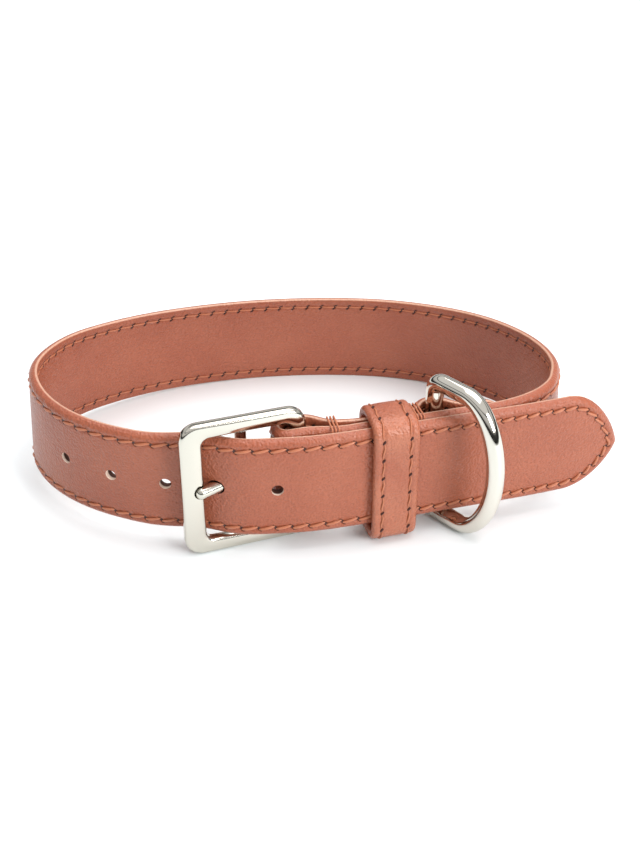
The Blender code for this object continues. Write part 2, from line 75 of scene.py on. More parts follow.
def add_node(tree, kind, inputs=None, **settings):
    """Adds one node; settings are its properties, inputs are values or other nodes' sockets."""
    made = tree.nodes.new("ShaderNode" + kind)
    for name, value in settings.items():
        setattr(made, name, value)
    for name, value in (inputs or {}).items():
        if isinstance(value, bpy.types.NodeSocket):
            tree.links.new(value, made.inputs[name])
        else:
            made.inputs[name].default_value = value
    return made


camera_data = bpy.data.cameras.new("photo_camera")
camera_data.sensor_fit = "HORIZONTAL"
camera_data.sensor_width = 36.0
camera_data.lens = FOCAL_PIXELS / PHOTO_WIDTH * camera_data.sensor_width
camera_data.clip_start = 0.01
camera = bpy.data.objects.new("photo_camera", camera_data)
camera.location = Vector(CAMERA_PLACE) * MM
camera.rotation_euler = (math.radians(90.0 - CAMERA_PITCH), 0.0, 0.0)
bpy.context.scene.collection.objects.link(camera)
bpy.context.scene.camera = camera
bpy.context.scene.view_settings.view_transform = "Standard"

floor_mesh = bpy.data.meshes.new("floor")
floor_mesh.from_pydata([(-6, -6, 0), (6, -6, 0), (6, 6, 0), (-6, 6, 0)], [], [(0, 1, 2, 3)])
floor = bpy.data.objects.new("floor", floor_mesh)
bpy.context.scene.collection.objects.link(floor)
white_table, _, table_shader = new_material("white_table")
table_shader.inputs["Base Color"].default_value = linear("F2F8FA")
table_shader.inputs["Roughness"].default_value = 0.6
floor_mesh.materials.append(white_table)


def soft_box(name, place, size, power, aim=(0.0, 0.0, 15.0)):
    """Square area light at a place, turned towards a point on the collar."""
    light = bpy.data.lights.new(name, "AREA")
    light.shape = "SQUARE"
    light.size = size * MM
    light.energy = power
    obj = bpy.data.objects.new(name, light)
    obj.location = Vector(place) * MM
    obj.rotation_euler = (Vector(aim) - Vector(place)).to_track_quat("-Z", "Y").to_euler()
    bpy.context.scene.collection.objects.link(obj)


soft_box("overhead_box", (100.0, 150.0, 900.0), 900.0, 7.5)
soft_box("front_box", (620.0, -560.0, 430.0), 420.0, 6.0)

room = bpy.data.worlds.new("white_room")
room.use_nodes = True
room_tree = room.node_tree
direction = add_node(room_tree, "TexCoord")
height = add_node(room_tree, "SeparateXYZ", {"Vector": direction.outputs["Generated"]})
bands = add_node(room_tree, "ValToRGB", {"Fac": height.outputs["Z"]})
ROOM_BANDS = ((0.0, 0.04), (0.16, 0.08), (0.27, 1.0), (0.50, 1.3), (0.57, 0.02), (0.64, 1.45))
ramp = bands.color_ramp.elements
for position, grey in ROOM_BANDS[1:-1]:
    ramp.new(position).color = (grey, grey, grey, 1.0)
ramp[0].color = (ROOM_BANDS[0][1],) * 3 + (1.0,)
ramp[-1].position, ramp[-1].color = ROOM_BANDS[-1][0], (ROOM_BANDS[-1][1],) * 3 + (1.0,)
background = room_tree.nodes["Background"]
room_tree.links.new(bands.outputs["Color"], background.inputs["Color"])
background.inputs["Strength"].default_value = 0.62
bpy.context.scene.world = room

# Strap route
# One leather band: the pointed free end, out through the buckle, round the neck, back behind the
# free end, round the buckle's end bar and into a flap inside. It stands on its edge.
STRAP_WIDTH = 25.4
STRAP_THICKNESS = 2.2
EDGE_ROUND = 0.95
LAYER_GAP = 0.4
GAP = 0.3
LOOP_WIDTH = 127.0
LOOP_DEPTH = 78.2
FRAME_LENGTH = 28.6
FRAME_THICKNESS = 2.8
FRAME_YAW = math.radians(19.0)
FRONT_BAR = 5.0
END_BAR = 3.5
CENTRE_BAR_DIAMETER = 2.8
CENTRE_BAR_DROP = 1.9
PRONG_EYE_WALL = 0.9
RING_WIRE = 4.1
RING_FROM_BAR = 31.0
FLAP_FROM_BAR = 47.6
TAIL_FROM_BAR = 75.0
TUCK_FROM_BAR = 48.0
LIFT = RING_WIRE + GAP
FLAT_SHARE = 0.3
HALF = STRAP_THICKNESS / 2
PITCH = STRAP_THICKNESS + LAYER_GAP
BAR_ACROSS = -0.0386
BAR_DEPTH = 0.088
ORIGIN_ACROSS = -0.679
ORIGIN_DEPTH = 37.913
BEND_SLACK = 0.6
TAIL_SLACK = 0.7
EYE_SLACK = 0.95
UNDER_BAR_GAP = 0.66
BAR_DROP_SHARE = 0.08
SWELL_WIDTH = 1.07
SWELL_POWER = 2.6
TAIL_SLANT = math.radians(28.0)

# Free end to the right of the end bar: shares of the loop's width and depth
TAIL_TABLE = np.array([
    (0.654, 0.329),
    (0.514, 0.258),
    (0.371, 0.182),
    (0.254, 0.128),
    (0.143, 0.077),
    (0.056, 0.038),
])

# Round the neck from the buckle's front bar: shares, inward lean in degrees, drop as share of LIFT
LOOP_TABLE = np.array([
    (-0.283, 0.050, -1.5, 0.13),
    (-0.343, 0.080, -2.0, 0.16),
    (-0.402, 0.123, -1.5, 0.16),
    (-0.463, 0.189, 0.0, 0.13),
    (-0.511, 0.272, 2.0, 0.06),
    (-0.539, 0.366, 3.5, 0.0),
    (-0.548, 0.467, 4.5, 0.0),
    (-0.535, 0.582, 5.5, 0.0),
    (-0.501, 0.685, 6.0, 0.0),
    (-0.445, 0.773, 6.5, 0.0),
    (-0.362, 0.860, 7.0, 0.0),
    (-0.257, 0.932, 7.5, 0.0),
    (-0.130, 0.982, 7.5, 0.0),
    (0.000, 1.000, 7.5, 0.0),
    (0.130, 0.987, 7.5, 0.0),
    (0.244, 0.934, 7.5, 0.0),
    (0.342, 0.840, 7.0, 0.0),
    (0.412, 0.706, 6.0, 0.0),
    (0.446, 0.564, 4.5, 0.0),
    (0.449, 0.440, 3.0, 0.0),
    (0.428, 0.335, 1.0, 0.0),
])


def lengths(path):
    """Distance along a path at each of its points."""
    return np.r_[0.0, np.cumsum(np.hypot(*np.diff(path[:, :2], axis=0).T))]


def spline(points, step=0.1):
    """Natural cubic spline: second derivatives from the usual tridiagonal system, evenly sampled."""
    pts = np.array(points, float)
    knots = lengths(pts)
    gaps = np.diff(knots)
    n = len(pts)
    system = np.eye(n)
    right = np.zeros_like(pts)
    for i in range(1, n - 1):
        system[i, i - 1:i + 2] = gaps[i - 1], 2 * (gaps[i - 1] + gaps[i]), gaps[i]
        right[i] = 6 * ((pts[i + 1] - pts[i]) / gaps[i] - (pts[i] - pts[i - 1]) / gaps[i - 1])
    bend = np.linalg.solve(system, right)
    fine = np.linspace(0, knots[-1], int(knots[-1] / step * 2))
    i = np.clip(np.searchsorted(knots, fine, side="right") - 1, 0, n - 2)
    h = gaps[i][:, None]
    a = (knots[i + 1] - fine)[:, None]
    b = (fine - knots[i])[:, None]
    out = (bend[i] * a ** 3 + bend[i + 1] * b ** 3) / (6 * h)
    out = out + (pts[i] / h - bend[i] * h / 6) * a + (pts[i + 1] / h - bend[i + 1] * h / 6) * b
    length = lengths(out)
    even = np.linspace(0, length[-1], int(length[-1] / step))
    return np.stack([np.interp(even, length, out[:, k]) for k in range(out.shape[1])], 1)


bar_place = np.array([BAR_ACROSS * LOOP_WIDTH - ORIGIN_ACROSS, BAR_DEPTH * LOOP_DEPTH - ORIGIN_DEPTH])
bar_along = np.array([math.cos(FRAME_YAW), math.sin(FRAME_YAW)])
bar_inward = np.array([-math.sin(FRAME_YAW), math.cos(FRAME_YAW)])


def by_buckle(along, inward):
    """Plan point from the middle of the buckle's end bar, along the frame and into the neck."""
    return bar_place + np.multiply.outer(along, bar_along) + np.multiply.outer(inward, bar_inward)


frame_left = END_BAR / 2 - FRAME_LENGTH
front_bar_inner = frame_left + FRONT_BAR
centre_bar_along = END_BAR / 2 - FRAME_LENGTH / 2
BAR_SEAT = FRAME_THICKNESS / 2 + GAP + HALF
EYE_RADIUS = CENTRE_BAR_DIAMETER / 2 + GAP + PRONG_EYE_WALL
RING_SEAT = HALF + GAP + RING_WIRE / 2


def flap_offset(from_bar):
    """Flap's middle behind the free end's: two pitches, a swell at the end bar and one at the ring.

    Each swell is its height * exp(-(distance / width) ** power).
    """
    near_bar = 1.2 * np.exp(-((from_bar - 5.0) / 5.0) ** 2)
    off_ring = np.abs(from_bar - RING_FROM_BAR) / (RING_WIRE * SWELL_WIDTH)
    return 2 * PITCH + near_bar + (2 * RING_SEAT - PITCH) * np.exp(-off_ring ** SWELL_POWER)


def strap_route():
    """Lower edge's middle line from tip to flap: x, y, lean, drop; and the front line by itself.

    Layers keep one pitch apart. Round the bars the line keeps its seat plus the leather's slack.
    """
    round_bend = BAR_SEAT + PITCH + BEND_SLACK + TAIL_SLACK
    bend_middle = -END_BAR / 2 - BEND_SLACK
    clear = EYE_RADIUS + EYE_SLACK + HALF
    over_bar = by_buckle(0.0, -BAR_SEAT - PITCH - BEND_SLACK / 2 - TAIL_SLACK)
    past_bend = by_buckle(bend_middle - round_bend * math.sin(math.pi / 4),
                          -round_bend * math.cos(math.pi / 4))
    over_eye = by_buckle(centre_bar_along - clear * math.sin(TAIL_SLANT),
                         CENTRE_BAR_DROP - clear * math.cos(TAIL_SLANT))
    under_bar = by_buckle(front_bar_inner, FRAME_THICKNESS / 2 + HALF + UNDER_BAR_GAP)
    share_to_plan = np.array([LOOP_WIDTH, LOOP_DEPTH])
    origin = np.array([ORIGIN_ACROSS, ORIGIN_DEPTH])
    tail = np.c_[TAIL_TABLE * share_to_plan - origin, np.zeros((len(TAIL_TABLE), 2))]
    loop = np.c_[LOOP_TABLE[:, :2] * share_to_plan - origin, LOOP_TABLE[:, 2:]]
    middle = np.array([[*over_bar, 0.0, 0.0], [*past_bend, 0.0, 0.0], [*over_eye, 0.0, 0.0],
                       [*under_bar, 0.0, BAR_DROP_SHARE]])
    line = spline(np.vstack([tail, middle, loop]))
    run = lengths(line)
    at_bar = run[int(np.argmin(np.hypot(*(line[:, :2] - over_bar).T)))]
    tangent = np.gradient(line[:, :2], axis=0)
    tangent /= np.hypot(*tangent.T)[:, None]
    inward = np.stack([tangent[:, 1], -tangent[:, 0]], 1)

    def beside(from_bar, offset):
        k = np.interp(at_bar - np.asarray(from_bar), run, np.arange(len(run))).astype(int)
        return line[k, :2] + inward[k] * np.asarray(offset)[..., None]

    outer = line[int(np.searchsorted(run, at_bar - TAIL_FROM_BAR)):]
    back = beside(np.arange(TUCK_FROM_BAR, 4.0, -5.0), PITCH)[1:]
    turn = np.radians([45, 90, 135])
    first = by_buckle(0.0, -BAR_SEAT)[None]
    bend = by_buckle(bend_middle - BAR_SEAT * np.sin(turn), -BAR_SEAT * np.cos(turn))
    last = by_buckle(np.array([0.0, END_BAR * 0.6]), np.full(2, BAR_SEAT + BEND_SLACK / 6))
    d = np.arange(7.0, FLAP_FROM_BAR + 1.0, 2.0)
    inner = np.vstack([back, first, bend, last, beside(d, flap_offset(d))])
    joined = np.vstack([outer[::25], np.c_[inner, np.zeros((len(inner), 2))]])
    return spline(joined), line, beside


route, front_line, beside = strap_route()
ring_bar = beside(RING_FROM_BAR, PITCH + RING_SEAT)
route_run = lengths(route)
strap_length = route_run[-1]
route_tangent = np.gradient(route[:, :2], axis=0)
route_tangent /= np.hypot(*route_tangent.T)[:, None]


def along_route(column, s):
    return np.interp(s, route_run, column)


def base_height(y, lean, drop):
    """Lower edge's height: LIFT over the front, falling evenly to the back, less the drop.

    A leaning wall stands on its rounded corner, which adds
    (HALF - EDGE_ROUND) * sin(lean) + EDGE_ROUND * (1 - cos(lean)).
    """
    back = LOOP_DEPTH - (y + ORIGIN_DEPTH)
    corner = (HALF - EDGE_ROUND) * np.sin(np.abs(lean)) + EDGE_ROUND * (1 - np.cos(lean))
    return LIFT * (np.clip(back / (LOOP_DEPTH * (1 - FLAT_SHARE)), 0.0, 1.0) - drop) + corner


def strap_point(s, h, w):
    """Point in metres at s from the tip, h above the strap's middle and w into the neck side.

    up = inward * sin(lean) + z * cos(lean), and the normal = inward * cos(lean) - z * sin(lean).
    """
    lean = np.radians(along_route(route[:, 2], s))
    tx = along_route(route_tangent[:, 0], s)
    ty = along_route(route_tangent[:, 1], s)
    size = np.hypot(tx, ty)
    inward = np.stack([ty / size, -tx / size], -1)
    foot = np.stack([along_route(route[:, 0], s), along_route(route[:, 1], s)], -1)
    rise = base_height(foot[..., 1], lean, along_route(route[:, 3], s))
    level = h + STRAP_WIDTH / 2
    plan = foot + inward * (level * np.sin(lean) + w * np.cos(lean))[..., None]
    z = rise + level * np.cos(lean) - w * np.sin(lean)
    return np.concatenate([plan, z[..., None]], -1) * MM


# Strap leather
# Two plies of smooth calf, pasted over a thin filler: the outer ply is turned over the edge and
# the lining meets it in a thin pale line, which is also a painted highlight of the rounded edge.
# It crowns between the rows. The holes are punched.
TIP_LENGTH = 13.5
TIP_FALL = 1.5
TIP_POWER = 0.75
FLAP_CORNER = 5.0
OUTER_ROUND = 1.45
INNER_ROUND = 0.4
EDGE_PEAK = 0.55
ROW_FROM_EDGE = 2.4
OUTER_GROOVE = 0.22
INNER_GROOVE = 0.14
HOLE_DIAMETER = 2.7
HOLE_SPACING = 12.7
HOLES = (-1, 0, 1, 2, 3)
PUNCH_REACH = 1.7
PRONG_PUNCH_REACH = 3.6
PRONG_DIAMETER = 2.9
PRONG_TIP_FROM_END = 2.9
PRONG_SEAT = 1.2
CROWN = 0.10
CROWN_RUN = 5.0
BEAD = 0.06
BEAD_WIDTH = 0.6
GROOVE_WIDTH = 0.5
PALE_LINE = 0.2
SLIT_ALONG = 0.42
SLIT_ACROSS = 0.85
SLIT_SLANT = -0.6
MEAN_PITCH = 3.6
GRAIN = 0.5
SKIN = 1.1
CLOUD = 16.0
GRAIN_DEPTH = 0.2


def half_height(s):
    """Half the strap's width: full * (1 - (1 - share)^2)^TIP_POWER at the tip, round at the flap."""
    full = STRAP_WIDTH / 2
    share = np.clip(s / TIP_LENGTH, 0.0, 1.0)
    point = full * (1 - (1 - share) ** 2) ** TIP_POWER
    corner = np.clip(strap_length - s, 0.0, FLAP_CORNER)
    rounded = full - FLAP_CORNER + np.sqrt(FLAP_CORNER ** 2 - (FLAP_CORNER - corner) ** 2)
    return np.minimum(point, rounded)


def tip_fall(s):
    """The point sits low: the middle drops by TIP_FALL * (1 - share)^2 at the tip."""
    return TIP_FALL * (1 - np.clip(s / TIP_LENGTH, 0.0, 1.0)) ** 2


def from_edge(s, h):
    """Distance in the leather's own plane from the nearest point of its outline."""
    distance = STRAP_WIDTH / 2 - np.abs(h)
    for low, high in ((0.0, TIP_LENGTH), (strap_length - FLAP_CORNER, strap_length)):
        turn = np.linspace(0.0, math.pi, 400)
        edge_s = low + (high - low) * (1 - np.cos(turn)) / 2
        edge_h = half_height(edge_s)
        if high == strap_length:
            edge_s = np.r_[edge_s, np.full(60, strap_length)]
            edge_h = np.r_[edge_h, np.linspace(0.0, STRAP_WIDTH / 2 - FLAP_CORNER, 60)]
        near = (s > low - 10.0) & (s < high + 10.0)
        gap = np.hypot(s[near][:, None] - edge_s, np.abs(h[near])[:, None] - edge_h).min(1)
        distance[near] = np.minimum(distance[near], gap)
    return np.maximum(distance, 0.0)


def quarter_round(d, radius):
    """Share of the full face reached at d from an edge: sqrt(1 - (1 - d / radius)^2)."""
    return np.sqrt(1 - (1 - np.clip(d / radius, 0.0, 1.0)) ** 2)


def face_depth(d, groove):
    """Face in mm above plain: a bead at the edge, a groove at the row, then a rise of CROWN."""
    crown = CROWN * np.clip((d - ROW_FROM_EDGE) / CROWN_RUN, 0.0, 1.0) ** 0.6
    bead = BEAD * np.exp(-((d - ROW_FROM_EDGE * 0.55) / BEAD_WIDTH) ** 2)
    return bead + crown - groove * np.exp(-((d - ROW_FROM_EDGE) / GROOVE_WIDTH) ** 2) - CROWN


def outer_face(d):
    """Outer face: from EDGE_PEAK at the outline over a wide quarter round to -HALF."""
    rise = quarter_round(d, OUTER_ROUND)
    return EDGE_PEAK - (HALF + EDGE_PEAK + face_depth(d, OUTER_GROOVE)) * rise


def inner_face(d):
    """Lining face: from EDGE_PEAK at the outline over a tight quarter round to +HALF."""
    rise = quarter_round(d, INNER_ROUND)
    return EDGE_PEAK + (HALF - EDGE_PEAK + face_depth(d, INNER_GROOVE)) * rise


def surface(name, points, close_rows=False, close_columns=False, caps=False):
    """Mesh of quads between neighbours of a grid of points; caps close its first and last row."""
    rows, columns = points.shape[:2]
    index = np.arange(rows * columns).reshape(rows, columns)
    if close_rows:
        index = np.vstack([index, index[:1]])
    if close_columns:
        index = np.hstack([index, index[:, :1]])
    corners = (index[:-1, :-1], index[:-1, 1:], index[1:, 1:], index[1:, :-1])
    faces = np.stack(corners, -1).reshape(-1, 4).tolist()
    if caps:
        faces += [index[0, :columns][::-1].tolist(), index[-1, :columns].tolist()]
    mesh = bpy.data.meshes.new(name)
    mesh.from_pydata(points.reshape(-1, 3).tolist(), [], faces)
    mesh.update()
    return mesh


def face_out(*meshes):
    """Joins closed shells into one mesh with every face pointing outwards."""
    shell = bmesh.new()
    for mesh in meshes:
        shell.from_mesh(mesh)
    bmesh.ops.recalc_face_normals(shell, faces=shell.faces)
    shell.to_mesh(meshes[0])
    shell.free()
    return meshes[0]


def place_piece(name, mesh, material, slot, body, *nodes, crease=40.0):
    """Puts a finished mesh in the scene on its body, in place of the solids it stands for."""
    obj = bpy.data.objects.new(name, mesh)
    bpy.context.scene.collection.objects.link(obj)
    if not mesh.materials:
        mesh.materials.append(material)
    mesh.shade_smooth()
    mesh.set_sharp_from_angle(angle=math.radians(crease))
    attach(obj, body)
    if nodes:
        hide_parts(*nodes)


def pitch_at(s):
    """Stitch length: 3.1 mm near the tip, easing to 3.75 mm past the keeper."""
    return 3.1 + 0.65 * np.clip((s - 38.0) / 20.0, 0.0, 1.0)


def row_path():
    """The stitch row in the leather's plane, flap end to tip to flap end: s, h, and a count.

    It keeps ROW_FROM_EDGE inside the outline; the count grows by one each stitch.
    """
    turn = np.linspace(0.0, math.pi / 2, 240)
    edge_s = TIP_LENGTH * (1 - np.cos(turn))
    edge_h = half_height(edge_s)
    ds = np.gradient(edge_s)
    dh = np.gradient(edge_h)
    size = np.hypot(ds, dh)
    inner_s = edge_s + ROW_FROM_EDGE * dh / size
    inner_h = edge_h - ROW_FROM_EDGE * ds / size
    keep = (inner_h > 0.02) & (np.gradient(inner_s) > 0)
    straight = np.arange(TIP_LENGTH + 0.3, strap_length - ROW_FROM_EDGE, 0.3)
    side_s = np.r_[inner_s[keep], straight]
    side_h = np.r_[inner_h[keep], np.full(len(straight), STRAP_WIDTH / 2 - ROW_FROM_EDGE)]
    path_s = np.r_[side_s[::-1], side_s]
    path_h = np.r_[-side_h[::-1], side_h]
    step = np.r_[0.0, np.hypot(np.diff(path_s), np.diff(path_h))]
    return path_s, path_h, np.cumsum(step / pitch_at(path_s))


row_s, row_h, row_count = row_path()


def nearest_count(s, h):
    """Stitch count at the row's nearest point, by the s of the same side away from the tip."""
    half = len(row_s) // 2
    lower = np.interp(s, row_s[:half][::-1], row_count[:half][::-1])
    upper = np.interp(s, row_s[half:], row_count[half:])
    count = np.where(h > 0, upper, lower)
    near = s < TIP_LENGTH + 3.0
    tip = row_s < TIP_LENGTH + 8.0
    gap = np.hypot(s[near][:, None] - row_s[tip], h[near][:, None] - row_h[tip])
    count[near] = row_count[tip][gap.argmin(1)]
    return count


def strap_grid():
    """Stations along the strap and distances across it, close together at edges and rows."""
    tip = TIP_LENGTH * (1 - np.cos(np.linspace(0.05, math.pi / 2, 44)))
    front = np.arange(TIP_LENGTH + 0.45, 165.0, 0.5)
    rest = np.arange(165.4, strap_length - FLAP_CORNER, 0.8)
    end = strap_length - FLAP_CORNER * (1 - np.sin(np.linspace(0.0, math.pi / 2 - 0.06, 14)))
    stations = np.r_[tip, front, rest, end]
    quarter = OUTER_ROUND * (1 - np.cos(np.linspace(0.0, math.pi / 2, 9)))
    band = np.r_[quarter, np.arange(1.62, 3.6, 0.22), np.arange(4.1, 12.2, 0.9)]
    heights = (STRAP_WIDTH / 2 - np.r_[band, STRAP_WIDTH - band[::-1]]) / (STRAP_WIDTH / 2)
    return stations, heights


def slit_mask(tree, uv):
    """1 in a slanting oval at each whole count of the row, 0 outside; lengths in mm."""
    parts = add_node(tree, "SeparateXYZ", {"Vector": uv})
    shifted = add_node(tree, "Math", {0: parts.outputs["X"], 1: 0.5}, operation="ADD")
    whole = add_node(tree, "Math", {0: shifted.outputs["Value"]}, operation="FRACT")
    centred = add_node(tree, "Math", {0: whole.outputs["Value"], 1: 0.5}, operation="SUBTRACT")
    run = add_node(tree, "Math", {0: centred.outputs["Value"], 1: MEAN_PITCH}, operation="MULTIPLY")
    lean = add_node(tree, "Math", {0: parts.outputs["Y"], 1: SLIT_SLANT, 2: run.outputs["Value"]},
                    operation="MULTIPLY_ADD")
    far_u = add_node(tree, "Math", {0: lean.outputs["Value"], 1: SLIT_ALONG}, operation="DIVIDE")
    far_v = add_node(tree, "Math", {0: parts.outputs["Y"], 1: SLIT_ACROSS}, operation="DIVIDE")
    both = add_node(tree, "CombineXYZ", {"X": far_u.outputs["Value"], "Y": far_v.outputs["Value"]})
    far = add_node(tree, "VectorMath", {0: both.outputs["Vector"]}, operation="LENGTH")
    return add_node(tree, "MapRange", {"Value": far.outputs["Value"], "From Min": 1.15,
                                       "From Max": 0.7}).outputs["Result"]


def calf(name, dark, light, roughness, slits):
    """Smooth calf: tan dye in faint clouds and a pebbled grain about 0.5 mm across, softly glossy.

    The eye gets broken small highlights and, with slits, the pale line of the lining's edge,
    which is also a painted highlight of the rounded edge, and the painted shade of the needle
    slits of the rows.
    """
    material, tree, shader = new_material(name)
    place = add_node(tree, "TexCoord").outputs["Object"]
    cloud = add_node(tree, "TexNoise", {"Vector": place, "Scale": 1 / (CLOUD * MM), "Detail": 3.0})
    tone = add_node(tree, "ValToRGB", {"Fac": cloud.outputs["Fac"]})
    tone.color_ramp.elements[0].position = 0.3
    tone.color_ramp.elements[0].color = linear(dark)
    tone.color_ramp.elements[1].position = 0.7
    tone.color_ramp.elements[1].color = linear(light)
    pores = add_node(tree, "TexVoronoi", {"Vector": place, "Scale": 1 / (GRAIN * MM)},
                     feature="SMOOTH_F1")
    skin = add_node(tree, "TexNoise", {"Vector": place, "Scale": 1 / (SKIN * MM), "Detail": 5.0})
    relief = add_node(tree, "Math", {0: pores.outputs["Distance"], 1: skin.outputs["Fac"]},
                      operation="ADD")
    dye = add_node(tree, "MapRange", {"Value": pores.outputs["Distance"], "From Max": 0.8,
                                      "To Min": 0.88, "To Max": 1.08})
    tint = add_node(tree, "VectorMath", {0: tone.outputs["Color"], "Scale": dye.outputs["Result"]},
                    operation="SCALE")
    gloss = add_node(tree, "MapRange", {"Value": skin.outputs["Fac"], "To Min": roughness - 0.08,
                                        "To Max": roughness + 0.04})
    colour = tint.outputs["Vector"]
    level = relief.outputs["Value"]
    if slits:
        row = add_node(tree, "UVMap", uv_map="row").outputs["UV"]
        edge_map = add_node(tree, "UVMap", uv_map="edge").outputs["UV"]
        edge = add_node(tree, "SeparateXYZ", {"Vector": edge_map})
        # Pale line along the outline: the lining's edge, lightened further as a painted highlight of the
        # rounded edge.
        edge_line_and_highlight = add_node(tree, "Mix", {"Factor": edge.outputs["X"], "A": colour, "B": linear("C99A82")},
                        data_type="RGBA")
        # Painted shade: each needle slit is darkened to near black-brown and sunk a little by the bump.
        slit = slit_mask(tree, row)
        slit_painted_shade = add_node(tree, "Mix", {"Factor": slit, "A": edge_line_and_highlight.outputs["Result"],
                                           "B": linear("3A130A")}, data_type="RGBA")
        colour = slit_painted_shade.outputs["Result"]
        sunk = add_node(tree, "Math", {0: slit, 1: -1.5, 2: level}, operation="MULTIPLY_ADD")
        level = sunk.outputs["Value"]
    bump = add_node(tree, "Bump", {"Height": level, "Strength": 1.0, "Distance": GRAIN_DEPTH * MM})
    tree.links.new(colour, shader.inputs["Base Color"])
    tree.links.new(gloss.outputs["Result"], shader.inputs["Roughness"])
    tree.links.new(bump.outputs["Normal"], shader.inputs["Normal"])
    shader.inputs["Specular IOR Level"].default_value = 0.5
    return material


def add_row_maps(mesh, loop_s, loop_h, loop_d, lining):
    """UV map row: stitch count, and mm from the row; UV map edge: 1 on the pale line and painted edge
    highlight.
    """
    count = nearest_count(loop_s.ravel(), loop_h.ravel())
    in_row = loop_s.ravel() < row_s.max()
    across = np.where(in_row, ROW_FROM_EDGE - loop_d.ravel(), STRAP_WIDTH)
    # Mask of the pale line, the lining's edge and a painted highlight, within PALE_LINE of the outline.
    edge = np.exp(-(loop_d.ravel() / PALE_LINE) ** 4) * lining.ravel()
    corner = np.zeros(len(mesh.loops), int)
    mesh.loops.foreach_get("vertex_index", corner)
    for name, u, v in (("row", count, across), ("edge", edge, edge)):
        layer = mesh.uv_layers.new(name=name)
        layer.data.foreach_set("uv", np.stack([u[corner], v[corner]], 1).ravel())


def punch(mesh, cutters, walls):
    """Mesh with the cutters taken out; the holes' walls take the cutters' material."""
    leather_obj = bpy.data.objects.new("punched", mesh)
    punch_obj = bpy.data.objects.new("punches", cutters)
    cutters.materials.append(walls)
    for obj in (leather_obj, punch_obj):
        bpy.context.scene.collection.objects.link(obj)
    cut = leather_obj.modifiers.new("punched", "BOOLEAN")
    cut.operation = "DIFFERENCE"
    cut.solver = "EXACT"
    cut.material_mode = "TRANSFER"
    cut.object = punch_obj
    bpy.context.view_layer.update()
    graph = bpy.context.evaluated_depsgraph_get()
    done = bpy.data.meshes.new_from_object(leather_obj.evaluated_get(graph))
    for obj in (leather_obj, punch_obj):
        bpy.data.objects.remove(obj, do_unlink=True)
    return done


def prong_axis():
    """Plan ends of the prong's middle line: its tip over the front bar, and the centre bar."""
    tip_inward = -FRAME_THICKNESS / 2 + PRONG_SEAT - GAP - PRONG_DIAMETER / 2
    tip = by_buckle(frame_left + PRONG_TIP_FROM_END, tip_inward)
    return tip, by_buckle(centre_bar_along, CENTRE_BAR_DROP)


def hole_punches():
    """Round punches square to the leather, and a slanting one where the prong comes through.

    The UV map edge runs from 0 at a punch's outer end to 1 at its inner end.
    """
    tip, pivot = prong_axis()
    run = lengths(front_line)
    shank = pivot + np.linspace(0, 1, 200)[:, None] * (tip - pivot)
    gap = np.hypot(*(front_line[None, :, :2] - shank[:, None]).transpose(2, 0, 1))
    through = shank[gap.min(1).argmin()]
    at_prong = run[gap.min(0).argmin()]
    punches = bmesh.new()
    depth_map = punches.loops.layers.uv.new("edge")
    for step in HOLES:
        k = int(np.interp(at_prong + step * HOLE_SPACING, run, np.arange(len(run))))
        heading = front_line[k + 5, :2] - front_line[k - 5, :2]
        aim = np.array([heading[1], -heading[0]]) if step else tip - pivot
        middle = front_line[k, :2] if step else through
        level = LIFT + STRAP_WIDTH / 2
        if step:
            level = float(base_height(middle[1], 0.0, front_line[k, 3])) + STRAP_WIDTH / 2
        place = Vector((*aim, 0.0)).to_track_quat("Z", "Y").to_matrix().to_4x4()
        place.translation = Vector((*middle, level)) * MM
        radius = HOLE_DIAMETER / 2 if step else PRONG_DIAMETER / 2 + GAP
        depth = STRAP_THICKNESS * (PUNCH_REACH if step else PRONG_PUNCH_REACH)
        made = bmesh.ops.create_cone(punches, cap_ends=True, segments=36, radius1=radius * MM,
                                     radius2=radius * MM, depth=depth * MM, matrix=place)
        for vertex in made["verts"]:
            inwards = (place.inverted() @ vertex.co).z / (depth * MM) + 0.5
            for loop in vertex.link_loops:
                loop[depth_map].uv = (inwards, inwards)
    mesh = bpy.data.meshes.new("hole_punches")
    punches.to_mesh(mesh)
    punches.free()
    return mesh


def cut_hide_with_painted_shade():
    """Cut hide in a punched hole: a pale matt rim at the outer face, then painted shade deeper in."""
    material, tree, shader = new_material("raw_cut_hide_painted_shade")
    depth_map = add_node(tree, "UVMap", uv_map="edge").outputs["UV"]
    depth = add_node(tree, "SeparateXYZ", {"Vector": depth_map})
    tone = add_node(tree, "ValToRGB", {"Fac": depth.outputs["X"]})
    tone.color_ramp.elements[0].position = 0.33
    tone.color_ramp.elements[0].color = linear("EBD3C2")
    # Painted shade: past the pale rim the wall turns dark brown with depth into the hole.
    tone.color_ramp.elements[1].position = 0.39
    tone.color_ramp.elements[1].color = linear("4A281C")
    tree.links.new(tone.outputs["Color"], shader.inputs["Base Color"])
    shader.inputs["Roughness"].default_value = 0.8
    return material


CALF_DARK = "9B5137"
CALF_LIGHT = "A45B40"
tan_calf = calf("tan_calf_leather", CALF_DARK, CALF_LIGHT, 0.38, True)
stations, heights = strap_grid()
grid_s, share = np.meshgrid(stations, heights, indexing="ij")
grid_h = share * half_height(grid_s)
grid_d = from_edge(grid_s.ravel(), grid_h.ravel()).reshape(grid_s.shape)
ring_round = np.s_[:, -2:0:-1]
loop_s = np.hstack([grid_s, grid_s[ring_round]])
loop_h = np.hstack([grid_h, grid_h[ring_round]])
loop_d = np.hstack([grid_d, grid_d[ring_round]])
loop_w = np.hstack([outer_face(grid_d), inner_face(grid_d)[ring_round]])
lining = np.hstack([np.where(grid_d < 0.01, 1.0, 0.0), np.ones_like(grid_d[ring_round])])
strap_mesh = surface("strap_leather", strap_point(loop_s, loop_h - tip_fall(loop_s), loop_w),
                     close_columns=True, caps=True)
